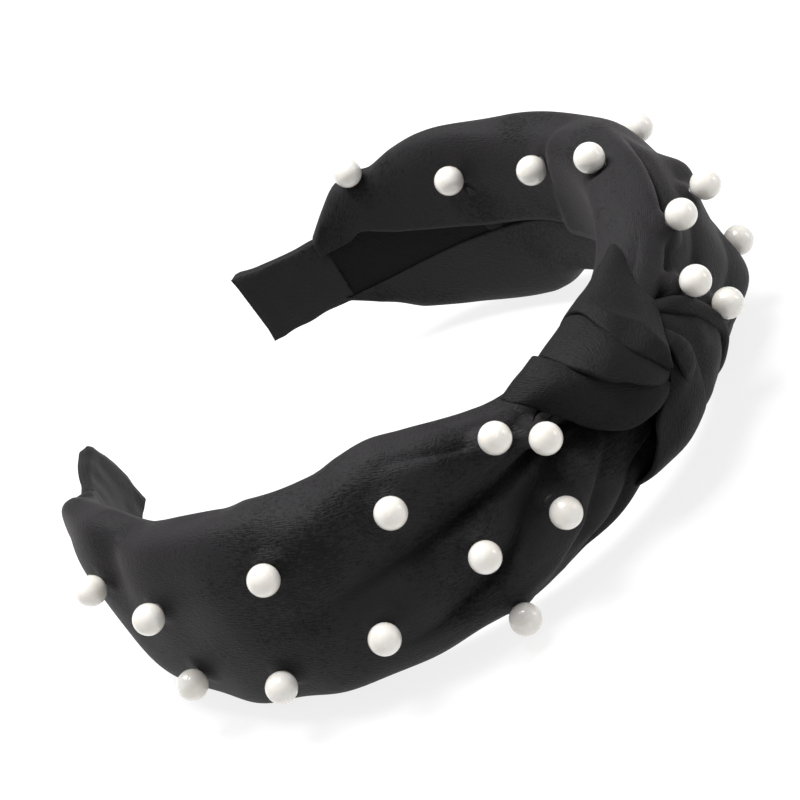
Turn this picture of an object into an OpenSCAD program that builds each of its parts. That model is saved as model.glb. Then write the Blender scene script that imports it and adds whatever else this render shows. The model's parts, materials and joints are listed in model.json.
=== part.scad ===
// Knotted headband: a springy moulded hoop in fabric covers that meet in a twisted knot, with bead trim.
// The origin is the centre of the crown arc at mid width. The crown faces -Y and the tips point +Y.

/* [Hoop] */
// Radius of the lining's inner face over the crown
inner_r = 62.5; // [60:0.5:66]
// Half angle of the crown arc, from the crown's middle
crown_a = 80; // [74:1:84]
// Radius of the slacker arc below the crown arc, on the reference line
leg_r = 90; // [84:1:96]
// Angle by which each tip turns in past straight down
tip_turn = 52; // [46:1:56]
// Thickness of the moulded hoop
hoop_t = 2; // [1.6:0.1:2.4]
// Width of the hoop over the crown
hoop_w = 24; // [22:0.5:26]
// Width of the hoop at its tips
tip_w = 17; // [15:0.5:19]
// Corner radius of the hoop's tips
tip_corner_r = 2.5; // [1:0.5:4]
// Angle from the crown's middle to each flexing line
flex_a = 13; // [12.5:0.1:13.5]

/* [Fabric] */
// Thickness of the lining ribbon
lining_t = 0.8; // [0.6:0.1:1]
// Thickness of the fabric folded round each tip
wrap_t = 0.7; // [0.5:0.1:0.7]
// Length of the fabric folded round each tip
wrap_len = 27; // [24:1:30]
// Slant of each cover's upper end, which leaves room for the flex
end_slant = 17; // [16:1:20]
// Height of a cover's widest line as a share of its crown's height
edge_share = 0.3; // [0.2:0.05:0.45]
// Half width of the knot across the band
knot_half_w = 20; // [19:0.5:20.5]
// Height of the knot's top above the reference line
knot_h = 18; // [16:0.5:19]
// Lean of the seam between the knot's two loops
knot_lean = 24; // [10:1:30]

/* [Beads] */
// Diameter of a bead
bead_d = 7; // [6:0.5:7]
// Height of the collar between the fabric and a bead
collar_h = 0.5; // [0.4:0.1:0.8]
// Diameter of a bead's pin
pin_d = 1.2; // [1:0.1:1.4]
// Depth of the pin's hole in a bead
pin_hole = 4; // [3:0.5:5]

/* [Hidden] */
$fn = 48;
fit_gap = 0.05;
body_gap = 0.3;
flex_play = 0.06;
big = 200;

// The reference line runs this far outside the lining's inner face
ref_off = 3.5;
ref_r = inner_r + ref_off;
hoop_in = lining_t + fit_gap;
hoop_mid = hoop_in + hoop_t / 2;
flex_n = hoop_mid - ref_off;
// Heights of the hoop's inner and outer face above the reference line
hoop_n0 = hoop_in - ref_off;
hoop_n1 = hoop_n0 + hoop_t;
// Spare width of a strip before the taper trims it
trim = 2;
end_a = 90 + tip_turn;
crown_len = ref_r * crown_a * PI / 180;
leg_len = crown_len + leg_r * (end_a - crown_a) * PI / 180;
wrap_s = leg_len - wrap_len;

// Distance down each leg, then the hoop's half width there
HOOP_HALF = [[0, hoop_w / 2], [118, hoop_w / 2], [156, tip_w / 2], [leg_len, tip_w / 2]];
// Distance down each leg, then the cover's half width there
COVER_HALF = [[0, 17.5], [18, 18.5], [42, 22.5], [68, 24.5], [122, 25],
    [140, 22.5], [152, 19], [158, 15], [161, 12]];
// Distance down each leg, then the height of the cover's crown above the reference line
COVER_DOME = [[0, 11], [18, 12], [45, 15], [70, 14.5], [95, 12.5], [125, 9.5],
    [142, 8], [152, 7], [158, 5], [161, 2.5]];
// Angle from the knot's middle, then its half width and height as shares of the largest
KNOT_SHAPE = [[-12.7, 0.86, 0.55], [-10, 0.93, 0.82], [-5, 0.98, 0.97], [0, 1, 1],
    [5, 0.98, 0.97], [10, 0.93, 0.82], [12.7, 0.86, 0.55]];
// Distance down the leg to each bead, then its angle round the cover from the upper edge
BEADS_LEFT = [[22, 62], [29, 42], [26, 98], [41, 91], [41, 142], [50, 50], [62, 102],
    [75, 60], [85, 114], [107, 78], [109, 115], [126, 71]];
BEADS_RIGHT = [[23, 74], [28, 97], [33, 48], [50, 70], [57, 109], [55, -24],
    [81, 66], [86, 110], [90, -82], [106, 84], [112, 126], [122, -88], [134, 72], [138, 110], [151, -22]];

// Angle on the arch at distance s down a leg
function arch_a(s) = s < crown_len ? s / ref_r * 180 / PI : crown_a + (s - crown_len) / leg_r * 180 / PI;
// Centre and radius of the arc that holds the angle a, on the right leg
function arc_c(a) = a <= crown_a ? [0, 0] : (ref_r - leg_r) * [sin(crown_a), -cos(crown_a)];
function arc_r(a) = a <= crown_a ? ref_r : leg_r;
// Point at angle a, n outside the reference line
function arch_pt(a, n) = arc_c(a) + (arc_r(a) + n) * [sin(a), -cos(a)];
// Distance from one end of a table row to the next, linear between rows
function at(s, table) = lookup(s, table);

// Superellipse that gives every padded section its shape
bulge = 0.8;
function swell(v) = sign(v) * pow(abs(v), bulge);
// Height of a section's widest line above the reference line
function edge_n(dome) = edge_share * dome - 0.5;
// Half width of the flat inner face of a section
function flank(half, core) = min(core + 3, half - 2);
// Lowest level of a section's inner rolls
roll_n = 0.2 - ref_off;
// Point of a section at angle t from its upper edge, as [across, outward]; t below 0 is on the inner roll
function face_pt(half, dome, core, t) =
    let (e = edge_n(dome), f = flank(half, core), across = swell(cos(t)), out = swell(sin(t)))
    t < 0 ? [f + (half - f) * across, e + (e - roll_n) * out] : [half * across, e + (dome - e) * out];
// Outward normal of the section at the same place
function face_n(half, dome, core, t) =
    let (e = edge_n(dome), f = flank(half, core),
        wide = t < 0 ? half - f : half, high = t < 0 ? e - roll_n : dome - e,
        g = [sign(cos(t)) * pow(abs(cos(t)), 2 - bulge) / wide,
            sign(sin(t)) * pow(abs(sin(t)), 2 - bulge) / high])
    g / norm(g);
// Padded section wrapped round a strip of half width core, as [across, outward] points
function wrapped(half, dome, core) =
    let (lip = core + fit_gap * 4, seat = -0.45,
        roll = [for (t = [-30, -60, -90]) face_pt(half, dome, core, t)])
    concat([for (t = [0:15:180]) face_pt(half, dome, core, t)],
        [for (p = roll) [-p[0], p[1]]],
        [[-lip, roll_n], [-lip, seat], [lip, seat], [lip, roll_n]],
        [for (i = [2:-1:0]) roll[i]]);

// Closed solid through rings that each hold the same number of points
module skin(rings) {
    n = len(rings[0]);
    last = len(rings) - 1;
    polyhedron(
        points = [for (ring = rings) each ring],
        faces = concat(
            [[for (j = [0:n - 1]) j]],
            [for (i = [0:last - 1], j = [0:n - 1])
                let (k = (j + 1) % n)
                [i * n + j, (i + 1) * n + j, (i + 1) * n + k, i * n + k]],
            [[for (j = [n - 1:-1:0]) last * n + j]]),
        convexity = 6);
}

// Strip of the arch between two angles and between two offsets from the reference line
module arch_strip(from_a, to_a, n0, n1, width) {
    joined = from_a < crown_a && to_a > crown_a;
    weld_a = joined ? 0.6 : 0;
    step = joined ? 0.05 : 0;
    if (from_a < crown_a) {
        arc_piece(from_a, min(to_a, crown_a) + weld_a, [0, 0], ref_r + n0, ref_r + n1, width);
    }
    if (to_a > crown_a) {
        arc_piece(max(from_a, crown_a), to_a, arc_c(end_a), leg_r + n0 + step, leg_r + n1 - step, width);
    }
}

module arc_piece(from_a, to_a, centre, r0, r1, width) {
    translate([centre[0], centre[1], -width / 2]) rotate(from_a - 90)
        rotate_extrude(angle = to_a - from_a, $fn = 180) translate([r0, 0]) square([r1 - r0, width]);
}

// Frame of the right leg at angle a: x runs on down the leg, y outward, z across the band
module on_arch(a, n = 0) {
    p = arch_pt(a, n);
    translate([p[0], p[1], 0]) rotate(a) mirror([0, 1, 0]) children();
}

// Everything across the band that is inside the hoop's tapering width, grown by extra
module taper(extra = 0) {
    y0 = arch_pt(arch_a(HOOP_HALF[1][0]), 0)[1];
    y1 = arch_pt(arch_a(HOOP_HALF[2][0]), 0)[1];
    w0 = hoop_w / 2 + extra;
    w1 = tip_w / 2 + extra;
    rotate([90, 0, 90]) linear_extrude(big, center = true)
        polygon([[-big, -w0], [y0, -w0], [y1, -w1], [big, -w1], [big, w1], [y1, w1], [y0, w0], [-big, w0]]);
}

// Rounds the corners of a strip that ends at the tips
module tip_round(extra = 0) {
    reach = 40;
    corner = tip_corner_r + extra;
    on_arch(end_a) translate([extra - reach, 0, 0]) rotate([90, 0, 0])
        linear_extrude(2 * big, center = true)
        union() {
            translate([-big, -big / 2]) square([big, big]);
            translate([-1, corner - tip_w / 2 - extra]) square([reach + 1, tip_w + 2 * extra - 2 * corner]);
            translate([-1, -tip_w / 2 - extra]) square([reach + 1 - corner, tip_w + 2 * extra]);
            for (side = [-1, 1])
                translate([reach - corner, side * (tip_w / 2 + extra - corner)]) circle(corner);
        }
}

module side_of(side) {
    mirror([side < 0 ? 1 : 0, 0, 0]) children();
}

module hoop_crown() {
    cut_back = hoop_t * 0.17;
    color("#3a3a3d") difference() {
        arch_strip(-flex_a, flex_a, hoop_n0, hoop_n1, hoop_w);
        for (side = [-1, 1]) side_of(side) on_arch(flex_a, flex_n) {
            cylinder(r = hoop_t / 2 + flex_play, h = big, center = true);
            translate([-cut_back, -big / 2, -big / 2]) cube(big);
        }
    }
}

module hoop_leg(side) {
    knuckle_d = hoop_t - 0.1;
    color("#3a3a3d") side_of(side) union() {
        intersection() {
            arch_strip(flex_a, end_a, hoop_n0, hoop_n1, hoop_w + trim);
            taper();
            tip_round();
        }
        on_arch(flex_a, flex_n) cylinder(d = knuckle_d, h = hoop_w, center = true);
    }
}

module lining_crown() {
    gap_a = body_gap / inner_r * 180 / PI;
    color("#242326") arch_strip(gap_a - flex_a, flex_a - gap_a, -ref_off, lining_t - ref_off, hoop_w);
}

module lining_leg(side) {
    gap_a = body_gap / inner_r * 180 / PI;
    tip_gap = 0.5;
    color("#242326") side_of(side) intersection() {
        arch_strip(flex_a + gap_a, arch_a(wrap_s - tip_gap), -ref_off, lining_t - ref_off, hoop_w + trim);
        taper();
    }
}

// Fabric folded round a tip of the hoop
module tip_wrap(side) {
    end_cap_a = 0.8;
    end_play_a = 0.1;
    open_end = 5;
    color("#232225") side_of(side) difference() {
        intersection() {
            arch_strip(arch_a(wrap_s), end_a + end_cap_a, hoop_n0 - wrap_t, hoop_n1 + wrap_t, hoop_w);
            taper(wrap_t);
            tip_round(wrap_t);
        }
        intersection() {
            arch_strip(arch_a(wrap_s - open_end), end_a + end_play_a,
                hoop_n0 - fit_gap, hoop_n1 + fit_gap, hoop_w);
            taper(fit_gap);
        }
    }
}

// One ring of the cover at distance s down the right leg, leaning towards the knot by slant
function cover_ring(s, slant) =
    let (a = arch_a(s))
    [for (p = wrapped(at(s, COVER_HALF), at(s, COVER_DOME), at(s, HOOP_HALF)))
        let (q = arch_pt(a, p[1]) + [cos(a), sin(a)] * max(0, p[1] - flex_n) * slant)
        [q[0], q[1], p[0]]];

// Padded fabric cover of one leg, from the knot to just above the tip
module cover(side) {
    s0 = (flex_a * PI / 180) * ref_r + body_gap;
    s1 = COVER_HALF[len(COVER_HALF) - 1][0];
    steps = 32;
    crowding = 1.15;
    fade = 30;
    color("#262528") side_of(side) skin([for (i = [0:steps])
        let (s = s0 + (s1 - s0) * (1 - pow(1 - i / steps, crowding)))
        cover_ring(s, tan(end_slant) * max(0, 1 - (s - s0) / fade))]);
}

// Both loops of the knot as one padded form
module knot_form() {
    core = hoop_w / 2;
    half_steps = 6;
    widths = [for (row = KNOT_SHAPE) [row[0], row[1]]];
    heights = [for (row = KNOT_SHAPE) [row[0], row[2]]];
    end = KNOT_SHAPE[len(KNOT_SHAPE) - 1][0];
    skin([for (i = [0:2 * half_steps])
        let (a = end * (i / half_steps - 1))
        [for (p = wrapped(knot_half_w * at(a, widths), knot_h * at(a, heights), core))
            let (q = arch_pt(a, p[1]))
            [q[0], q[1], p[0]]]]);
}

// Half space on one side of the leaning seam between the loops
module seam_side(side) {
    rotate([0, knot_lean, 0]) translate([side * (body_gap / 3 + big / 2), -big / 2, 0])
        cube(big, center = true);
}

module knot_loop(side) {
    color("#2a292c") intersection() {
        knot_form();
        seam_side(side);
    }
}

// Places its children on the cover of the right leg, with +Z out of the fabric
module on_cover(spot) {
    s = spot[0];
    a = arch_a(s);
    half = at(s, COVER_HALF);
    dome = at(s, COVER_DOME);
    core = at(s, HOOP_HALF);
    p = face_pt(half, dome, core, spot[1]);
    nrm = face_n(half, dome, core, spot[1]);
    on_arch(a, p[1]) translate([0, 0, p[0]]) rotate([atan2(-nrm[1], nrm[0]), 0, 0]) children();
}

// Collar, pin and back disc that hold one bead
module tack() {
    disc_d = 5;
    disc_t = 0.6;
    disc_depth = 1.4;
    pin_root = 1.2;
    pin_end_gap = 0.3;
    collar_d = pin_d + 1.6;
    translate([0, 0, -disc_depth]) cylinder(d = disc_d, h = disc_t);
    translate([0, 0, -pin_root]) cylinder(d = pin_d, h = pin_root + collar_h + pin_hole - pin_end_gap);
    cylinder(d = collar_d, h = collar_h);
}

module tacks(side, spots) {
    color("#d9d3c8") side_of(side) for (spot = spots) on_cover(spot) tack();
}

module bead(side, spot) {
    color("#f4f1ea") side_of(side) on_cover(spot) difference() {
        translate([0, 0, collar_h + bead_d / 2]) sphere(d = bead_d);
        cylinder(d = pin_d + fit_gap, h = collar_h + pin_hole);
    }
}

hoop_crown();
hoop_leg(-1);  // hoop_left_leg
hoop_leg(1);  // hoop_right_leg
lining_crown();
lining_leg(-1);  // lining_left_leg
lining_leg(1);  // lining_right_leg
tip_wrap(-1);  // tip_wrap_left
tip_wrap(1);  // tip_wrap_right
cover(-1);  // cover_left
cover(1);  // cover_right
knot_loop(1);  // knot_loop_left
knot_loop(-1);  // knot_loop_right
tacks(-1, BEADS_LEFT);  // bead_tacks_left
tacks(1, BEADS_RIGHT);  // bead_tacks_right
for (i = [1:len(BEADS_LEFT)])
    bead(-1, BEADS_LEFT[i - 1]);
for (i = [1:len(BEADS_RIGHT)])
    bead(1, BEADS_RIGHT[i - 1]);
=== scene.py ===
"""The looks of a knotted fabric headband with pearl trim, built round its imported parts.

Lengths in the tables are millimetres and angles are degrees; meshes are made in metres.
A place on the band is (s, n, b): s runs along the arch from the crown's middle, positive down the right leg,
n is the height outside the reference line, and b runs across the band towards its upper edge.
"""

import json
import math

import bmesh
import bpy
import numpy as np
from mathutils import Matrix, Vector


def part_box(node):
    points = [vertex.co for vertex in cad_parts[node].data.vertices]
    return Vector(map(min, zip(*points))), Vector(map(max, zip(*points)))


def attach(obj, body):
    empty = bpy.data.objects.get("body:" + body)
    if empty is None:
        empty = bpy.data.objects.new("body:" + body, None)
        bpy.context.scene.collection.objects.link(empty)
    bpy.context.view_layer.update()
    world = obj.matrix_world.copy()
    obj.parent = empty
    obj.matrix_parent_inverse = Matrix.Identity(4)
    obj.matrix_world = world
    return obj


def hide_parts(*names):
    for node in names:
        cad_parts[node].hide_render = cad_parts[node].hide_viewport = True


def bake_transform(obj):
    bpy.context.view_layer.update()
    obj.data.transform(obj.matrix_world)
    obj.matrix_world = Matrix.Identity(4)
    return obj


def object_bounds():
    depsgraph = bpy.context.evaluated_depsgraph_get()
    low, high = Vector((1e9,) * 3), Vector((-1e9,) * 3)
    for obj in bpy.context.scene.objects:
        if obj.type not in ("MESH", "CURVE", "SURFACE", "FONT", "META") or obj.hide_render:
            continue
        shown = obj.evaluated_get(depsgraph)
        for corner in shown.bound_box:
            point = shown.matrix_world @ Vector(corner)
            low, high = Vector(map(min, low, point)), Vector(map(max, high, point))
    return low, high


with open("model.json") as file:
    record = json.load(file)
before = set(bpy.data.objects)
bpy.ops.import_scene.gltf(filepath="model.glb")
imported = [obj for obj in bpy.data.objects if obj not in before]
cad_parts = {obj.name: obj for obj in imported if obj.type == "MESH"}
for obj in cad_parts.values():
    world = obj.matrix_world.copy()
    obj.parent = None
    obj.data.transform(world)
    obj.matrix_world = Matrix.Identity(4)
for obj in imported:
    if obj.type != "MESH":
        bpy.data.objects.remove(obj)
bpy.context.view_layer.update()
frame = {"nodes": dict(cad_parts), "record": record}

# ---------------------------------------------------------------- the arch
MM = 0.001
CLAMP = next(m for m in frame["record"]["mounts"] if m["name"] == "head_clamp")
INNER_R = CLAMP["dims"]["r_mm"]
# The reference line runs this far outside the lining's inner face
REF_OFF = 3.5
REF_R = INNER_R + REF_OFF
# Past the crown's half angle each leg goes on as a slacker arc
CROWN_A = math.radians(80)
CROWN_LEN = REF_R * CROWN_A
LEG_R = 90.0
# Distance to each flexing line, and how far before and past it the fabric bends
FLEX_S = REF_R * math.radians(13)
FLEX_BEFORE, FLEX_PAST = 7, 9
# Length along the crown of one degree
DEG = REF_R * math.pi / 180
FACE_N = -REF_OFF
# Which way each leg runs along the band
SIDES = {"left": -1, "right": 1}

# Distance down a leg, then the value there
HOOP_HALF = [(0, 12), (118, 12), (156, 8.5), (195, 8.5)]
COVER_HALF = [(0, 17.5), (18, 18.5), (42, 22.5), (68, 24.5), (122, 25), (140, 22.5), (152, 19),
              (159, 15), (165, 11.5), (169, 9.2)]
COVER_DOME = [(0, 11), (18, 12), (45, 15), (70, 14.5), (95, 12.5), (125, 9.5), (142, 8), (152, 7),
              (159, 5), (165, 2.4), (169, 0.9)]
# How much wider than COVER_HALF each side's cover is towards its upper and its lower edge
EDGES = {
    "left": dict(
        upper=[(0, -1), (16, -2.2), (22, -2.2), (28, -1.3), (35, 0), (42, 1.6), (49, 3.0), (56, 1.9),
               (64, -0.3), (76, -1.1), (82, -1.1), (88, -0.5), (93, -0.8), (98, -1.5), (106, -2.9),
               (112, -3.8), (118, -3.1), (126, -1.6), (138, -1), (146, -1.3), (151, -2.7), (155, -3.5),
               (160, -2.4), (164, -0.7), (169, 0)],
        lower=[(0, 0), (25, 0.6), (38, -0.4), (50, -1.1), (70, -1), (84, -0.4), (100, 1.2), (112, 1.4),
               (125, 0.8), (140, 0), (151, -1.8), (160, -0.8), (169, 0)],
    ),
    "right": dict(
        upper=[(0, 0), (20, -0.3), (45, -0.7), (60, -0.7), (80, -1.3), (95, -1.4), (108, -1), (122, 0.5),
               (132, 0.5), (140, 0), (147, -0.5), (153, 1.5), (158, 3.4), (163, 2.2), (169, 0)],
        lower=[(0, 0), (52, 0), (74, -4), (90, -7.5), (99, -7.5), (107, -4.4), (113, -1), (119, 0.4),
               (135, 0.8), (145, 1.2), (152, 1.3), (158, 0.4), (163, 0), (169, 0)],
    ),
}
# How far across the band the free edge of each flap runs, on the inner face
UPPER_FLAP = [(0, 0), (40, -1), (70, -1.7), (88, -1.3), (104, 0.2), (118, 0), (133, 1.6), (146, 4.4),
              (156, 7.6), (160, 5.8), (169, 5.2)]
LOWER_FLAP = [(0, -0.6), (40, -1.6), (70, -3), (88, -2.6), (104, -0.6), (114, -1.6), (130, -4),
              (146, -6.4), (158, -7.8), (169, -8.2)]
# Thickness of a flap, and of the fabric round a tip
FLAP_T, CLOTH_T = 0.4, 0.35
# Height of a cover's hidden inner side, on the hoop
SEAT_N = -2.7
# A cover's section is a superellipse of this power, widest at this share of its crown's height
BULGE = 0.8
EDGE_SHARE = 0.3
COVER_END = 169
# How many points a section has along a flap, round an edge and over the crown
FLAP_STEPS, ROLL_STEPS, DOME_STEPS = 18, 11, 141
# Stands for the angle of the points on a section's hidden side
HIDDEN = 999.0
BEAD_R = 3.5
# Fabric this close to a bead's foot is drawn to it: along the pin, then the two radii of the dimple
BEAD_REACH = 5.5
DIMPLE = (1.9, 5.2)


def arch(s, n, b):
    """Points in metres at s along the band, n out and b across; the three may be arrays."""
    s, n, b = np.broadcast_arrays(np.asarray(s, float), np.asarray(n, float), np.asarray(b, float))
    d = np.abs(s)
    a = np.where(d < CROWN_LEN, d / REF_R, CROWN_A + (d - CROWN_LEN) / LEG_R)
    drop = np.where(d < CROWN_LEN, 0.0, REF_R - LEG_R)
    r = np.where(d < CROWN_LEN, REF_R, LEG_R) + n
    x = drop * math.sin(CROWN_A) + r * np.sin(a)
    y = -drop * math.cos(CROWN_A) - r * np.cos(a)
    return np.stack([np.where(s < 0, -x, x), y, b], -1) * MM


def smooth(x, rows):
    """A table read with a smooth curve through its rows that doesn't overshoot."""
    xs, ys = np.array(rows, float).T
    h = np.diff(xs)
    slope = np.diff(ys) / h
    m = np.zeros(len(xs))
    inner = slope[:-1] * slope[1:] > 0
    m[1:-1][inner] = 2 * slope[:-1][inner] * slope[1:][inner] / (slope[:-1] + slope[1:])[inner]
    m[0], m[-1] = slope[0], slope[-1]
    x = np.clip(np.asarray(x, float), xs[0], xs[-1])
    i = np.clip(np.searchsorted(xs, x, "right") - 1, 0, len(h) - 1)
    f = (x - xs[i]) / h[i]
    return (
        ys[i] * (1 + 2 * f) * (1 - f) ** 2 + ys[i + 1] * f * f * (3 - 2 * f)
        + h[i] * (m[i] * f * (1 - f) ** 2 - m[i + 1] * f * f * (1 - f))
    )


def curve(points, count):
    """A smooth curve through points, sampled at count places."""
    p = np.array(points, float)
    p = np.vstack([2 * p[0] - p[1], p, 2 * p[-1] - p[-2]])
    t = np.linspace(0, len(points) - 1, count)
    i = np.clip(t.astype(int), 0, len(points) - 2)
    f = (t - i)[:, None]
    a, b, c, d = p[i], p[i + 1], p[i + 2], p[i + 3]
    return 0.5 * (2 * b + (c - a) * f + (2 * a - 5 * b + 4 * c - d) * f**2 + (3 * b - a - 3 * c + d) * f**3)


def fade(x, low, high):
    """0 below low, 1 above high and smooth between them."""
    f = np.clip((x - low) / (high - low), 0, 1)
    return f * f * (3 - 2 * f)


def bent(v, power):
    """Sine or cosine v, bent so that a circle turns into a superellipse."""
    return np.sign(v) * np.abs(v) ** power


def ripple(x, y, seed, size):
    """Slow uneven undulation between about -1 and 1 over x and y in millimetres."""
    draw = np.random.default_rng(seed)
    total = 0
    for k in range(6):
        turn, phase = draw.uniform(0, 2 * math.pi, 2)
        scale = 2 * math.pi / size * draw.uniform(0.6, 1.7)
        total = total + np.sin(scale * (x * math.cos(turn) + y * math.sin(turn)) + phase)
    return total / 3.2


# ---------------------------------------------------------------- meshes
def skin(name, rings):
    """Closed mesh through rings of points, with a map in millimetres for the weave."""
    rows, around = rings.shape[:2]
    faces = []
    for i in range(rows - 1):
        for j in range(around):
            k = (j + 1) % around
            faces.append((i * around + j, i * around + k, (i + 1) * around + k, (i + 1) * around + j))
    faces.append(tuple(range(around - 1, -1, -1)))
    faces.append(tuple((rows - 1) * around + j for j in range(around)))
    mesh = bpy.data.meshes.new(name)
    mesh.from_pydata(rings.reshape(-1, 3).tolist(), [], faces)
    mesh.validate()
    turn_outward(mesh)
    layer = mesh.uv_layers.new(name="cloth")
    flat = metric(rings).reshape(-1, 2)[[loop.vertex_index for loop in mesh.loops]]
    layer.data.foreach_set("uv", flat.astype(np.float32).ravel())
    return mesh


def loft(name, parts, material):
    """One piece made of closed skins."""
    whole = bmesh.new()
    for rings in parts:
        mesh = skin(name, rings)
        whole.from_mesh(mesh)
        bpy.data.meshes.remove(mesh)
    mesh = bpy.data.meshes.new(name)
    whole.to_mesh(mesh)
    whole.free()
    piece = bpy.data.objects.new(name, mesh)
    bpy.context.scene.collection.objects.link(piece)
    mesh.materials.append(material)
    mesh.shade_smooth()
    return piece


def turn_outward(mesh):
    """Flips a closed mesh's faces if they face in."""
    mesh.calc_loop_triangles()
    co = np.zeros(len(mesh.vertices) * 3)
    mesh.vertices.foreach_get("co", co)
    tri = np.zeros(len(mesh.loop_triangles) * 3, int)
    mesh.loop_triangles.foreach_get("vertices", tri)
    a, b, c = co.reshape(-1, 3)[tri.reshape(-1, 3)].transpose(1, 0, 2)
    if (a * np.cross(b, c)).sum() < 0:
        mesh.flip_normals()


def metric(rings):
    """Map of a grid of points in millimetres: distance along, distance around."""
    along = np.linalg.norm(np.diff(rings, axis=0), axis=2).mean(1)
    around = np.linalg.norm(np.diff(rings, axis=1), axis=2)
    u = np.concatenate([[0], np.cumsum(along)]) / MM
    v = np.concatenate([np.zeros((len(rings), 1)), np.cumsum(around, 1)], 1) / MM
    return np.stack([np.broadcast_to(u[:, None], v.shape), v - v.mean(1, keepdims=True)], -1)


# ---------------------------------------------------------------- materials
def node_material(name):
    """A new material with its nodes, its links and its main shader."""
    material = bpy.data.materials.new(name)
    material.use_nodes = True
    tree = material.node_tree
    return material, tree.nodes, tree.links, tree.nodes["Principled BSDF"]


def cloth_material(name, dark, light, roughness, sheen, weave_turn):
    """Crepe: short slanted threads crossing over a soft uneven grain, with a faint sheen."""
    material, nodes, links, shader = node_material(name)
    shader.inputs["Roughness"].default_value = roughness
    shader.inputs["Specular IOR Level"].default_value = 0.11
    shader.inputs["Sheen Weight"].default_value = sheen
    shader.inputs["Sheen Roughness"].default_value = 0.4
    shader.inputs["Sheen Tint"].default_value = (1.0, 0.93, 0.96, 1)
    place = nodes.new("ShaderNodeTexCoord")
    flat = nodes.new("ShaderNodeUVMap")
    flat.uv_map = "cloth"
    # Noise cells per millimetre of cloth: long threads one way, shorter ones across them
    threads = []
    for stretch in ((0.55, 3.1, 1), (2.6, 0.8, 1)):
        turn = nodes.new("ShaderNodeMapping")
        turn.vector_type = "TEXTURE"
        turn.inputs["Rotation"].default_value = (0, 0, math.radians(weave_turn))
        turn.inputs["Scale"].default_value = tuple(1 / v for v in stretch)
        links.new(flat.outputs["UV"], turn.inputs["Vector"])
        dash = nodes.new("ShaderNodeTexNoise")
        dash.inputs["Scale"].default_value = 1.0
        dash.inputs["Detail"].default_value = 1.5
        links.new(turn.outputs["Vector"], dash.inputs["Vector"])
        threads.append(dash)
    grain = nodes.new("ShaderNodeTexNoise")
    grain.inputs["Scale"].default_value = 1500
    grain.inputs["Detail"].default_value = 2
    links.new(place.outputs["Object"], grain.inputs["Vector"])
    patches = nodes.new("ShaderNodeTexNoise")
    patches.inputs["Scale"].default_value = 38
    patches.inputs["Detail"].default_value = 4
    links.new(place.outputs["Object"], patches.inputs["Vector"])
    cross = nodes.new("ShaderNodeMath")
    cross.operation = "MULTIPLY_ADD"
    cross.inputs[1].default_value = 0.6
    links.new(threads[1].outputs["Fac"], cross.inputs[0])
    links.new(threads[0].outputs["Fac"], cross.inputs[2])
    height = nodes.new("ShaderNodeMath")
    height.operation = "MULTIPLY_ADD"
    height.inputs[1].default_value = 0.5
    links.new(grain.outputs["Fac"], height.inputs[0])
    links.new(cross.outputs[0], height.inputs[2])
    bump = nodes.new("ShaderNodeBump")
    bump.inputs["Strength"].default_value = 1
    bump.inputs["Distance"].default_value = 0.0002
    links.new(height.outputs[0], bump.inputs["Height"])
    links.new(bump.outputs["Normal"], shader.inputs["Normal"])
    tone = nodes.new("ShaderNodeMath")
    tone.operation = "MULTIPLY_ADD"
    tone.inputs[1].default_value = 0.5
    links.new(height.outputs[0], tone.inputs[0])
    links.new(patches.outputs["Fac"], tone.inputs[2])
    ramp = nodes.new("ShaderNodeValToRGB")
    ramp.color_ramp.elements[0].position = 0.86
    ramp.color_ramp.elements[0].color = (*dark, 1)
    ramp.color_ramp.elements[1].position = 1.2
    ramp.color_ramp.elements[1].color = (*light, 1)
    links.new(tone.outputs[0], ramp.inputs["Fac"])
    links.new(ramp.outputs["Color"], shader.inputs["Base Color"])
    return material


def pearl_material():
    """Imitation pearl: a milky body under clear lacquer, with a faint uneven bloom."""
    material, nodes, links, shader = node_material("pearl_lacquer")
    shader.inputs["Roughness"].default_value = 0.26
    shader.inputs["Specular IOR Level"].default_value = 0.6
    shader.inputs["Subsurface Weight"].default_value = 0.35
    shader.inputs["Subsurface Radius"].default_value = (1.0, 0.8, 0.6)
    shader.inputs["Subsurface Scale"].default_value = 0.0012
    shader.inputs["Coat Weight"].default_value = 0.75
    shader.inputs["Coat Roughness"].default_value = 0.09
    shader.inputs["Sheen Weight"].default_value = 0.12
    place = nodes.new("ShaderNodeTexCoord")
    bloom = nodes.new("ShaderNodeTexNoise")
    bloom.inputs["Scale"].default_value = 260
    bloom.inputs["Detail"].default_value = 3
    links.new(place.outputs["Object"], bloom.inputs["Vector"])
    ramp = nodes.new("ShaderNodeValToRGB")
    ramp.color_ramp.elements[0].position = 0.3
    ramp.color_ramp.elements[0].color = (0.63, 0.60, 0.545, 1)
    ramp.color_ramp.elements[1].position = 0.7
    ramp.color_ramp.elements[1].color = (0.72, 0.70, 0.67, 1)
    links.new(bloom.outputs["Fac"], ramp.inputs["Fac"])
    links.new(ramp.outputs["Color"], shader.inputs["Base Color"])
    pitting = nodes.new("ShaderNodeTexNoise")
    pitting.inputs["Scale"].default_value = 700
    pitting.inputs["Detail"].default_value = 2
    links.new(place.outputs["Object"], pitting.inputs["Vector"])
    bump = nodes.new("ShaderNodeBump")
    bump.inputs["Strength"].default_value = 0.12
    bump.inputs["Distance"].default_value = 0.0001
    links.new(pitting.outputs["Fac"], bump.inputs["Height"])
    links.new(bump.outputs["Normal"], shader.inputs["Normal"])
    return material


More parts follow.
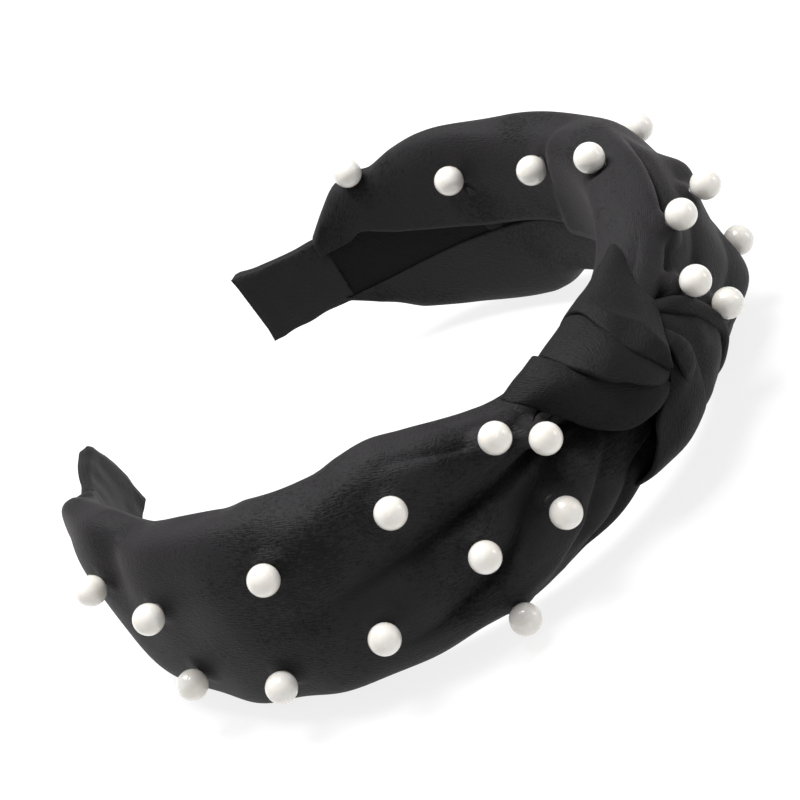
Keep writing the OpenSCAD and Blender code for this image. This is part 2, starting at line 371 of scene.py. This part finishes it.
def hard_material(name, dark, light, roughness, metallic, scale):
    """Moulded plastic or plated metal, with fine uneven wear in its colour, gloss and surface."""
    material, nodes, links, shader = node_material(name)
    shader.inputs["Metallic"].default_value = metallic
    place = nodes.new("ShaderNodeTexCoord")
    noise = nodes.new("ShaderNodeTexNoise")
    noise.inputs["Scale"].default_value = scale
    noise.inputs["Detail"].default_value = 5
    links.new(place.outputs["Object"], noise.inputs["Vector"])
    ramp = nodes.new("ShaderNodeValToRGB")
    ramp.color_ramp.elements[0].color = (*dark, 1)
    ramp.color_ramp.elements[1].color = (*light, 1)
    links.new(noise.outputs["Fac"], ramp.inputs["Fac"])
    links.new(ramp.outputs["Color"], shader.inputs["Base Color"])
    gloss = nodes.new("ShaderNodeMapRange")
    gloss.inputs["To Min"].default_value = roughness - 0.08
    gloss.inputs["To Max"].default_value = roughness + 0.1
    links.new(noise.outputs["Fac"], gloss.inputs["Value"])
    links.new(gloss.outputs["Result"], shader.inputs["Roughness"])
    bump = nodes.new("ShaderNodeBump")
    bump.inputs["Strength"].default_value = 0.2
    bump.inputs["Distance"].default_value = 0.00005
    links.new(noise.outputs["Fac"], bump.inputs["Height"])
    links.new(bump.outputs["Normal"], shader.inputs["Normal"])
    return material


# Dark and light tone, roughness, sheen and the turn of the weave
CREPE = cloth_material("cover_crepe", (0.0040, 0.0038, 0.0042), (0.0150, 0.0140, 0.0151), 0.62, 0.045, -12)
# The knot is the cover's crepe in darker tones: painted shade for the knot's folds, which turn away from the
# key light.
KNOT_SHADED_CREPE = cloth_material("knot_crepe_painted_shade", (0.0020, 0.0019, 0.0021), (0.0072, 0.0067, 0.0071), 0.62, 0.022, 8)
# The ribbon is black of its own, and its tones are set darker still as painted shade for the recess between
# the flaps inside the band.
RIBBON = cloth_material("lining_ribbon_painted_shade", (0.0020, 0.0020, 0.0022), (0.0060, 0.0057, 0.0062), 0.8, 0.015, 45)
PEARL = pearl_material()
# Dark and light tone, roughness, metallic and the scale of the wear
PLASTIC = hard_material("hoop_plastic", (0.035, 0.034, 0.037), (0.055, 0.054, 0.057), 0.45, 0, 300)
# The tacks are plated metal, set dark grey as painted shade where the beads meet the fabric.
SHADED_PLATING = hard_material("tack_plating_painted_shade", (0.16, 0.155, 0.15), (0.24, 0.23, 0.22), 0.45, 1, 600)


# ---------------------------------------------------------------- beads and where they meet the fabric
def bead_middles(side):
    """Middle of each bead on one leg, in metres."""
    names = sorted(n for n in frame["nodes"] if n.startswith(f"bead_{side}_"))
    return [np.array(sum(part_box(n), Vector((0, 0, 0)))) / 2 for n in names]


def meet_beads(plain, folded, side):
    """The folded fabric, drawn to the foot of each bead from a few millimetres round it."""
    for middle in bead_middles(side):
        near = plain.reshape(-1, 3)[np.argmin(np.linalg.norm(plain - middle, axis=-1))]
        axis = (middle - near) / np.linalg.norm(middle - near)
        away = folded - (middle - axis * BEAD_R * MM)
        height = away @ axis
        beside = np.linalg.norm(away - height[..., None] * axis, axis=-1)
        pull = (1 - fade(beside / MM, *DIMPLE)) * (np.abs(height) < BEAD_REACH * MM)
        folded = folded - axis * (height * pull)[..., None]
    return folded


# ---------------------------------------------------------------- the covers
# Each crease: its path as (s, angle round the section), its depth along that path, and how far it spreads
# towards the upper and the lower edge. The knot gathers the fabric, so they fan out from it.
CREASES = {
    "left": [
        dict(path=[(10, 36), (20, 34), (32, 31), (46, 22)],
             depth=[(10, 2.6), (24, 2.8), (38, 1.2), (50, 0)], up=3.2, down=1.0),
        dict(path=[(8, 86), (14, 80), (32, 79), (45, 81), (62, 86), (84, 92)],
             depth=[(8, 5.4), (16, 7.4), (44, 6.6), (62, 3.4), (90, 0)], up=4.0, down=0.9),
        dict(path=[(8, 60), (14, 58), (30, 54), (44, 52)],
             depth=[(8, 2.6), (18, 2.4), (32, 1.2), (44, 0)], up=3.0, down=1.2),
        dict(path=[(8, 88), (16, 87), (22, 88), (30, 95), (36, 106), (54, 119)],
             depth=[(8, 4.8), (24, 6.6), (38, 5.2), (62, 0)], up=3.4, down=0.9),
        dict(path=[(8, 92), (14, 103), (19, 117), (24, 133), (34, 146)],
             depth=[(8, 2.4), (16, 2.4), (26, 1.2), (34, 0)], up=1.0, down=2.6),
        dict(path=[(8, 128), (14, 145), (24, 160)], depth=[(8, 2.6), (16, 2.4), (30, 0)],
             up=3.0, down=1.0),
    ],
    "right": [
        dict(path=[(12, 72), (21, 65), (26, 59), (32, 49), (41, 39), (52, 28), (62, 20)],
             depth=[(8, 3.8), (15, 4.2), (22, 3.2), (33, 2.6), (40, 4.4), (50, 3.2), (66, 0)],
             up=1.1, down=2.7),
        dict(path=[(8, 86), (24, 86), (32, 83), (38, 78), (46, 70), (56, 60)],
             depth=[(8, 2.6), (26, 2.6), (46, 1.8), (60, 0)], up=2.6, down=1.1),
        dict(path=[(8, 108), (30, 109), (40, 104), (48, 98), (64, 86)],
             depth=[(8, 2.0), (30, 2.4), (50, 1.8), (66, 0)], up=1.6, down=3.0),
        dict(path=[(8, 122), (24, 128), (42, 130), (62, 122)],
             depth=[(8, 2.4), (24, 2.6), (46, 1.4), (66, 0)], up=1.2, down=4.2),
        dict(path=[(8, 128), (22, 138), (38, 146), (52, 148)],
             depth=[(8, 2.4), (20, 2.4), (40, 1.2), (54, 0)], up=1.2, down=3.6),
        dict(path=[(8, 32), (20, 24), (34, 8)], depth=[(8, 1.2), (18, 1.0), (30, 0)], up=2.4, down=3.0),
    ],
}
# Soft hollows, and swells where the depth is negative: (s, angle, depth, reach along, reach round)
HOLLOWS = {
    "left": [(119, 36, 1.5, 4.2, 36), (116, 6, 1.4, 2.2, 16), (147, 38, 0.4, 7, 40),
             (150, 120, 1.2, 6, 50), (62, 0, 1.4, 9, 22), (96, 0, 0.3, 9, 20), (17, 150, -1.7, 8, 26),
             (127, 105, -1.8, 9, 40)],
    "right": [(118, 10, 1.4, 8, 26), (72, 165, 1.2, 9, 30), (146, 60, 1.0, 6, 40), (67, 34, 1.4, 6, 28),
              (59, 70, -2.8, 4.5, 13), (50, 116, -3.8, 11, 26), (27, 118, 1.5, 8, 26)],
}
# Creases spread wider down the leg, by this share for each millimetre, and are round at the bottom
CREASE_FAN = 0.012
CREASE_ROUND = 0.02
CREASE_GAIN = 1.1


def section(side, s):
    """One ring of a cover at distance s down a leg: across, out and the angle round it.

    Its edges stand at the cover's half width, moved by EDGES, and two flaps turn in on its inner side.
    The angle is below -90 on the upper flap, 0 on the upper edge, 90 on the crown, 180 on the lower edge and
    above 270 on the lower flap.
    """
    half, dome, core = smooth(s, COVER_HALF), smooth(s, COVER_DOME), smooth(s, HOOP_HALF)
    wider_up, wider_down = (smooth(s, EDGES[side][way]) for way in ("upper", "lower"))
    up, down = half + wider_up, half + wider_down
    edge = EDGE_SHARE * dome - 0.5
    flank_up, flank_down = (min(core + 3, wide - 2) for wide in (up, down))
    upper, lower = smooth(s, UPPER_FLAP), smooth(s, LOWER_FLAP)
    turn = np.radians(np.linspace(-90, 0, ROLL_STEPS)[1:-1])
    top = np.radians(np.linspace(0, 180, DOME_STEPS))
    flap = np.linspace(0, 1, FLAP_STEPS)
    over = bent(np.cos(top), BULGE)
    b = np.concatenate([
        upper + (flank_up - upper) * flap,
        flank_up + (up - flank_up) * bent(np.cos(turn), BULGE),
        half * over + np.where(over > 0, wider_up, wider_down) * over**3,
        -(flank_down + (down - flank_down) * bent(np.cos(turn), BULGE))[::-1],
        -flank_down + (lower + flank_down) * flap,
        [lower, -core - 0.5, -core - 0.4, core + 0.4, core + 0.5, upper],
    ])
    inside = FACE_N + FLAP_T
    roll = edge + (edge - FACE_N) * bent(np.sin(turn), BULGE)
    level = np.full(FLAP_STEPS, FACE_N)
    n = np.concatenate([
        level,
        roll,
        edge + (dome - edge) * bent(np.sin(top), BULGE),
        roll[::-1],
        level,
        [inside, inside, SEAT_N, SEAT_N, inside, inside],
    ])
    t = np.concatenate([
        np.linspace(-150, -92, FLAP_STEPS),
        np.linspace(-90, 0, ROLL_STEPS)[1:-1],
        np.linspace(0, 180, DOME_STEPS),
        np.linspace(180, 270, ROLL_STEPS)[1:-1],
        np.linspace(272, 330, FLAP_STEPS),
        np.full(6, HIDDEN),
    ])
    return np.stack([b, n, t], -1)


def cover_folds(side, s, t, quarter):
    """How far the fabric stands out from the plain section, in millimetres."""
    total = np.zeros(s.shape)
    for crease in CREASES[side]:
        path, depth = crease["path"], crease["depth"]
        x = (t - smooth(s, path)) / 90 * quarter
        spread = 1 + CREASE_FAN * s
        wide = np.where(x > 0, crease["down"], crease["up"]) * spread
        total -= smooth(s, depth) * np.exp(-np.sqrt((x / wide) ** 2 + CREASE_ROUND)) * CREASE_GAIN
    for where, angle, depth, along, around in HOLLOWS[side]:
        total -= depth * np.exp(-((s - where) / along) ** 2 - ((t - angle) / around) ** 2)
    total += 0.45 * ripple(s, t / 3, 5 + SIDES[side], 34) * fade(s, 20, 60)
    total += 0.18 * ripple(s * 0.5, t / 3, 9 + SIDES[side], 9) * (1 - fade(s, 30, 80))
    return total


def inner_swell(side, s, b, upper):
    """How far the upper flap's fold swells towards the head, in millimetres."""
    most = {"right": 2.9, "left": 1.4}[side]
    slanted_end = 81 + (20 - b) * 0.45
    over_crown = most * fade(s, 12, 50) * (1 - fade(s - slanted_end, 0, 7.5))
    along_leg = 0.9 * fade(s, 60, 100) * (1 - fade(s, 150, 162)) * np.exp(-((b - upper) / 7) ** 2)
    return np.maximum(over_crown, along_leg)


def cover(side):
    """Gathered fabric cover of one leg, from the crown's middle to the fabric round the tip."""
    stops = np.concatenate([np.arange(0, 150, 0.85), np.arange(150, COVER_END + 0.1, 0.6)])
    rows = np.array([section(side, s) for s in stops])
    b, n, t = rows[..., 0], rows[..., 1], rows[..., 2]
    s = np.broadcast_to(stops[:, None], b.shape)
    base = arch(s * SIDES[side], n, b)
    outer = t < HIDDEN
    # About the length of fabric from an edge to the top of the crown
    quarter = (smooth(stops, COVER_HALF) + smooth(stops, COVER_DOME))[:, None] * 0.82
    # The folds fade out where the fabric turns in, and towards the tip
    dome = (t >= -40) & (t <= 220)
    fold = np.where(dome, cover_folds(side, s, t, quarter), 0)
    fold *= fade(t, -40, -5) * (1 - fade(t, 185, 220))
    fold *= 1 - fade(s, 152, 162)
    upper = smooth(stops, UPPER_FLAP)[:, None]
    flap = outer & (t < 25)
    swell = np.where(flap, inner_swell(side, s, b, upper), 0) * fade(-t, -25, 50)
    lean = normals_of(base, outer)
    moved = meet_beads(base, base + lean * ((fold + swell) * MM)[..., None], side)
    return loft(f"cover_{side}_fabric", [moved], CREPE)


def normals_of(points, shown):
    """Outward normal at each point of a grid whose rings run round the band; zero where not shown."""
    along = np.gradient(points, axis=0)
    around = (np.roll(points, -1, 1) - np.roll(points, 1, 1)) / 2
    normal = np.cross(around, along)
    normal /= np.maximum(np.linalg.norm(normal, axis=-1, keepdims=True), 1e-12)
    middle = len(points) // 2
    crown = np.argmax(np.linalg.norm(points[middle, :, :2], axis=1))
    if normal[middle, crown, :2] @ points[middle, crown, :2] < 0:
        normal = -normal
    return normal * shown[..., None]


# ---------------------------------------------------------------- the knot
# Each loop is a set of pleats that overlap. A pleat runs between two edges, from inside the arch, round the
# band's edge and over the top to the tuck, given as (angle from the crown's middle, across, out).
# puff is how far it swells along its way; ridge is a soft fold along it at a share of its width.
LOOPS = {
    "right": [
        dict(low=[(-14, 5, -3.2), (-17, 13, -3.3), (-18.4, 16.4, -0.8), (-18.2, 16.4, 3),
                  (-16.8, 14.8, 6), (-13.2, 8, 9.4), (-11.2, 3.8, 12.4), (-7.2, -0.5, 16),
                  (-2.2, -1.8, 17.2), (0.5, -3.4, 14.5)],
             high=[(-8, 5, -3.3), (-9.5, 14, -3.4), (-8.6, 18.4, -0.6), (-9, 19.9, 3.3),
                   (-7.6, 16.6, 9.2), (-6.2, 12.9, 13.7), (-3.2, 9.6, 15.2), (0, 5.6, 16.5),
                   (2.5, 0.8, 16.9), (4.5, -1.5, 14.5)],
             puff=[(0, 0.2), (0.3, 0.4), (0.5, 1.2), (0.8, 1.0), (1, 0.3)]),
        dict(low=[(-8.5, 5, -3.1), (-9.8, 14, -3.1), (-8, 17.6, -0.3), (-8, 18.4, 3.4),
                  (-8.1, 16.8, 10.2), (-7.2, 14, 14.8), (-6.2, 11.7, 16.9), (-4.4, 9.2, 18.1),
                  (-1.2, 3.8, 18.1), (3.2, -2.2, 15)],
             high=[(3, 5, -3), (3, 15, -3), (5, 19, -0.3), (5, 19.6, 4.4), (4.6, 16.8, 9.6),
                   (2, 14, 13.4), (2.4, 10, 15.6), (3.2, 6, 16.3), (4.4, 2.2, 16.6), (6, 0.8, 14.5)],
             puff=[(0, 0.2), (0.3, 0.5), (0.5, 1.2), (0.8, 1.0), (1, 0.3)]),
        dict(low=[(0, 5, -3.2), (0, 15, -3.3), (1.6, 19.4, -0.3), (1.8, 20.4, 4.9), (0.2, 18, 10.5),
                  (-0.3, 15, 14.5), (0, 11, 16.9), (1.6, 7, 17.6), (3.2, 2.8, 17.8), (5.5, 0.5, 15)],
             high=[(13, 5, -3.2), (18, 15, -3.3), (21.6, 18.6, -0.5), (21.4, 20.2, 3), (16.8, 15.4, 7),
                   (14.4, 9.8, 9.8), (8, 8, 15.3), (5.4, 5.6, 17), (3.4, 2.6, 17.6), (5.6, 0.3, 15)],
             puff=[(0, 0.2), (0.3, 0.3), (0.45, 0.9), (0.6, 1.7), (0.8, 0.8), (1, 0.1)],
             ridge=[(0, 0.08), (0.33, 0.1), (0.45, 0.18), (0.6, 0.34), (0.75, 0.6), (1, 0.8)]),
    ],
    "left": [
        dict(low=[(3.5, -5, -3), (3.6, -13, -3), (3.8, -18, -0.5), (3.8, -18.2, 4.3), (4.2, -16.4, 9.6),
                  (5, -12.8, 13.4), (5.2, -8.6, 15.4), (6.4, -4.6, 15.6), (7.4, -0.5, 15.4),
                  (8, 5.5, 14), (8.5, 8.5, 12), (8.5, 10.5, 9.5)],
             high=[(18, -5, -3), (18.5, -13, -3), (19.5, -18, -0.5), (20, -18.2, 4.3),
                   (20.2, -15.8, 9.2), (20.6, -12.8, 11.8), (21.2, -8.2, 14), (20, -2.4, 14.6),
                   (17.2, 2.4, 14), (14.5, 5.8, 13), (12.6, 8.2, 11.2), (11.5, 10.3, 8.8)],
             puff=[(0, 0.2), (0.3, 0.5), (0.6, 1.3), (0.8, 1.0), (1, 0.3)]),
        dict(low=[(16, -5, -3.2), (16.5, -13, -3.3), (17.8, -18.2, -0.6), (18.4, -18.4, 4.5),
                  (18.6, -16.2, 9.4), (19.6, -13.2, 12.3), (20.8, -8.6, 14.8), (18.6, -2.8, 15.4),
                  (16.4, 2, 15), (13.6, 6.2, 14), (12, 8.6, 12), (11, 10.5, 9.3)],
             high=[(20, -5, -3.2), (20.5, -13, -3.3), (21.5, -17.8, -0.6), (22, -17.8, 4.5),
                   (22.6, -15.8, 9.4), (23.4, -12.2, 12.2), (23.6, -7.2, 14.4), (21.9, -1.4, 14.8),
                   (19.6, 3.6, 14.4), (17, 7.6, 13), (14.6, 9.8, 10.4), (13, 11.5, 7.6)],
             puff=[(0, 0.3), (0.3, 0.7), (0.6, 1.1), (0.85, 0.9), (1, 0.4)]),
        dict(low=[(-6, -5, -3.2), (-7.5, -13, -3.3), (-8.4, -17.6, -0.6), (-8.7, -17.4, 4.5),
                  (-8.5, -15.5, 10), (-6.8, -12.5, 14.4), (-4.6, -8, 16.4), (-2.8, -3.2, 17.2),
                  (2.4, 0, 17.2), (5, 3.8, 15.8), (6.2, 7, 12.8)],
             high=[(6, -5, -3.2), (6.2, -13, -3.3), (6.5, -18.4, -0.6), (6.6, -18.6, 4.5),
                   (7, -16.8, 10.4), (7.6, -13.4, 14.4), (7.8, -9, 16.8), (9, -5, 17), (10, -0.5, 16.9),
                   (9.4, 4.6, 15.8), (9, 8.4, 12.8)],
             puff=[(0, 0.2), (0.3, 0.5), (0.5, 1.2), (0.8, 0.8), (1, 0.3)]),
        dict(low=[(7, 8.6, 13.4), (6.2, 7.4, 15.8), (5.7, 5.6, 17.6), (5, 2.2, 18.6), (4.6, -0.8, 18.6),
                  (4.3, -3.4, 17.9)],
             high=[(9, 8.5, 12.8), (9, 7, 15.2), (8.9, 5.2, 17.4), (9.2, 2.2, 18.2), (8.2, -1.6, 18.3),
                   (4.9, -3.7, 17.9)],
             puff=[(0, 0.3), (0.5, 0.6), (1, 0.1)]),
    ],
}
# Thickness of a pleat
PLEAT_T = 1.0


def pleat(spec, seed):
    """Rings of one folded pleat with rounded edges."""
    long, wide = 84, 44
    low, high = curve(spec["low"], long), curve(spec["high"], long)
    w = (1 - np.cos(math.pi * np.linspace(0, 1, wide))) / 2
    grid = low[:, None] * (1 - w)[:, None] + high[:, None] * w[:, None]
    base = arch(grid[..., 0] * DEG, grid[..., 2], grid[..., 1])
    normal = np.cross(np.gradient(base, axis=0), np.gradient(base, axis=1))
    normal /= np.maximum(np.linalg.norm(normal, axis=-1, keepdims=True), 1e-12)
    centre = (long // 2, wide // 2)
    outward = base[centre] - arch(grid[centre][0] * DEG, 4, 0)
    normal *= np.sign(normal[centre] @ outward)
    v = np.broadcast_to(np.linspace(0, 1, long)[:, None], grid.shape[:2])
    width = np.linalg.norm(np.diff(base, axis=1), axis=2).sum(1)[:, None] / MM
    height = smooth(v, spec["puff"]) * np.sin(math.pi * w) ** 0.8
    if "ridge" in spec:
        beside = np.abs((w - smooth(v, spec["ridge"])) * width)
        height += 0.9 * fade(v, 0.2, 0.4) * (1 - fade(v, 0.8, 1)) * np.exp(-((beside / 2.2) ** 1.3))
    half = PLEAT_T / 2
    rim = np.clip(np.minimum(w, 1 - w) * width / half, 0, 1)
    rounding = np.sqrt(np.clip(1 - (1 - rim) ** 2, 0, 1))
    height += 0.16 * ripple(v * 60, w * width, seed, 13) * rim
    top = base + normal * (half * (rounding - 1) + height)[..., None] * MM
    under = base + normal * (height - half * (1 + rounding))[..., None] * MM
    return np.concatenate([top, under[:, -2:0:-1]], axis=1)


def knot_loop(name, specs):
    """One loop of the knot: pleats that overlap and wrap round one edge of the band."""
    # The knot's crepe is painted darker as shade.
    return loft(name, [pleat(spec, 21 + i) for i, spec in enumerate(specs)], KNOT_SHADED_CREPE)


# ---------------------------------------------------------------- the lining and the tips
# Height of the lining ribbon's middle, its thickness, and how far down a leg it runs
RIBBON_N, RIBBON_T, RIBBON_END = -2.9, 0.28, 168


def lining(side):
    """Ribbon that lines one leg on the inside, tucked under the cover's flaps."""
    turn = np.linspace(0, 2 * math.pi, 28, endpoint=False)
    across, out = (bent(v, 0.35) for v in (np.cos(turn), np.sin(turn)))
    rings = [
        arch(s * SIDES[side], RIBBON_N + RIBBON_T / 2 * out, across * float(smooth(s, HOOP_HALF)))
        for s in np.linspace(0, RIBBON_END, 110)
    ]
    return loft(f"lining_{side}_ribbon", [np.array(rings)], RIBBON)


# Where the upper and the lower corner of each tip's fabric stand, as (s, half width), the share of its
# length over which it widens to them, how hollow its end is, and how far the corners curl outward
TIPS = {
    "left": dict(upper=(188.9, 10.5), lower=(197.2, 14.2), flare=(0.1, 0.75), hollow=-2.1, curl=0.3),
    "right": dict(upper=(191.4, 11.2), lower=(190.4, 9.4), flare=(0.5, 1), hollow=0.7, curl=0.2),
}
# Where that fabric starts down the leg, its half width there, and the heights of its inner and outer face
TIP_FROM = 166.5
TIP_HALF = 9.2
TIP_IN, TIP_OUT = -3.42, 0.12


def pocket_ring(side, share, inset):
    """One ring of the pocket round a tip, share of the way to its end and moved in by inset millimetres."""
    spec = TIPS[side]
    turn = np.linspace(0, 2 * math.pi, 72, endpoint=False)
    x, y = (bent(v, 0.4) for v in (np.cos(turn), np.sin(turn)))
    flare = float(fade(share, *spec["flare"]))
    pinch = float(fade(share, 0.93, 1))
    ends = np.where(x > 0, spec["upper"][0], spec["lower"][0])
    wide = np.where(x > 0, spec["upper"][1], spec["lower"][1])
    middle = (spec["upper"][0] + spec["lower"][0]) / 2
    end = middle + (ends - middle) * np.abs(x) - spec["hollow"] * (1 - np.abs(x) ** 1.6)
    s = TIP_FROM + (end - TIP_FROM) * share
    half = TIP_HALF + (wide - TIP_HALF) * flare + 0.18 * math.sin(share * 14)
    half = half * (1 - 0.06 * fade(share, 0.86, 1)) - inset
    low = TIP_IN + 0.5 * pinch + inset
    high = TIP_OUT - 2 * pinch - inset
    out = (high + low) / 2 + y * (high - low) / 2
    out = out + 0.2 * ripple(s, x * half, 41 + SIDES[side], 11)
    out = out + spec["curl"] * flare * np.sign(x) * fade(np.abs(x), 0.86, 1)
    return arch(s * SIDES[side], out, x * half)


def tip_wrap(side):
    """Flat fabric pocket pulled over one tip, with its two corners standing out."""
    shares = np.concatenate([np.linspace(0, 0.86, 40), np.linspace(0.875, 1, 14)])
    inner = [pocket_ring(side, share, CLOTH_T) for share in shares[::-1] if share < 0.985]
    rings = np.array(inner + [pocket_ring(side, share, 0) for share in shares])
    return loft(f"tip_wrap_{side}_fabric", [rings], CREPE)


# ---------------------------------------------------------------- assembly
def across_hinge(piece, side):
    """Bakes the piece's placement into its mesh. The span round that side's flexing line beside the knot is
    worked out but not used, so the piece doesn't bend.
    """
    start, end = (arch(SIDES[side] * s, FACE_N, 0) for s in (FLEX_S - FLEX_BEFORE, FLEX_S + FLEX_PAST))
    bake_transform(piece)


def build():
    """Every fabric piece, with the parts that it stands for; the tip wraps follow the legs and the right
    loop the crown.
    """
    for side in SIDES:
        fabric = cover(side)
        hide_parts(f"cover_{side}")
        across_hinge(fabric, side)
        ribbon = lining(side)
        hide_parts(f"lining_{side}_leg", *(["lining_crown"] if side == "left" else []))
        across_hinge(ribbon, side)
        tip = tip_wrap(side)
        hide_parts(f"tip_wrap_{side}")
        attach(tip, f"{side}_leg")
    for side in SIDES:
        loop = knot_loop(f"knot_loop_{side}_fabric", LOOPS[side])
        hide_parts(f"knot_loop_{side}")
        if side == "left":
            # This loop lies over the right leg's flexing line
            across_hinge(loop, "right")
        else:
            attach(loop, "crown")


def paint_cad():
    """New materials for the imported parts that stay."""
    for name, node in frame["nodes"].items():
        if name.startswith("bead_tacks"):
            material = SHADED_PLATING
        elif name.startswith("bead"):
            material = PEARL
        elif name.startswith("hoop"):
            material = PLASTIC
        else:
            material = CREPE
        node.data.materials.clear()
        node.data.materials.append(material)
        for face in node.data.polygons:
            face.material_index = 0


# ---------------------------------------------------------------- floor, light and camera
# The camera's own directions, its distance from the origin in metres, its lens and its shift
CAM_RIGHT = Vector((0.5605, -0.6719, -0.4840))
CAM_UP = Vector((0.6560, 0.0036, 0.7547))
CAM_BACK = Vector((-0.5054, -0.7406, 0.4428))
CAM_FAR = 0.758
LENS = 152.1
SHIFT = (0.01125, -0.00875)


def floor(low):
    """Wide pale floor just under the lowest part of the band."""
    mesh = bpy.data.meshes.new("floor")
    half, z = 3.0, low - 0.0005
    corners = [(-half, -half, z), (half, -half, z), (half, half, z), (-half, half, z)]
    mesh.from_pydata(corners, [], [(0, 1, 2, 3)])
    ground = bpy.data.objects.new("floor", mesh)
    bpy.context.scene.collection.objects.link(ground)
    material, _, _, shader = node_material("pale_floor")
    shader.inputs["Base Color"].default_value = (0.22, 0.22, 0.22, 1)
    shader.inputs["Emission Color"].default_value = (1, 1, 1, 1)
    shader.inputs["Emission Strength"].default_value = 0.81
    shader.inputs["Roughness"].default_value = 0.9
    shader.inputs["Specular IOR Level"].default_value = 0.1
    mesh.materials.append(material)


def light(name, right, up, back, size, power):
    """Soft square light, placed from the camera's side, that faces the band."""
    lamp = bpy.data.lights.new(name, "AREA")
    lamp.shape = "RECTANGLE"
    lamp.size, lamp.size_y = size
    lamp.energy = power
    holder = bpy.data.objects.new(name, lamp)
    bpy.context.scene.collection.objects.link(holder)
    holder.location = CAM_RIGHT * right + CAM_UP * up + CAM_BACK * back
    holder.rotation_mode = "QUATERNION"
    holder.rotation_quaternion = holder.location.to_track_quat("Z", "Y")


def studio():
    """Even white surroundings, two soft lights and the camera."""
    scene = bpy.context.scene
    scene.view_settings.view_transform = "Standard"
    world = bpy.data.worlds.new("studio")
    world.use_nodes = True
    sky = world.node_tree.nodes["Background"]
    sky.inputs["Color"].default_value = (1, 1, 1, 1)
    sky.inputs["Strength"].default_value = 0.45
    scene.world = world
    light("key", -0.55, 0.75, 0.35, (0.45, 0.8), 20.5)
    light("fill", 0.75, 0.45, 0.25, (0.25, 0.4), 1.2)
    lens = bpy.data.cameras.new("camera")
    lens.sensor_width = 36
    lens.lens = LENS
    lens.shift_x, lens.shift_y = SHIFT
    lens.clip_start = 0.05
    camera = bpy.data.objects.new("camera", lens)
    scene.collection.objects.link(camera)
    turn = Matrix((CAM_RIGHT, CAM_UP, CAM_BACK)).transposed()
    camera.matrix_world = Matrix.Translation(CAM_BACK * CAM_FAR) @ turn.to_4x4()
    scene.camera = camera


build()
paint_cad()
made_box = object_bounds()
floor(made_box[0].z)
studio()
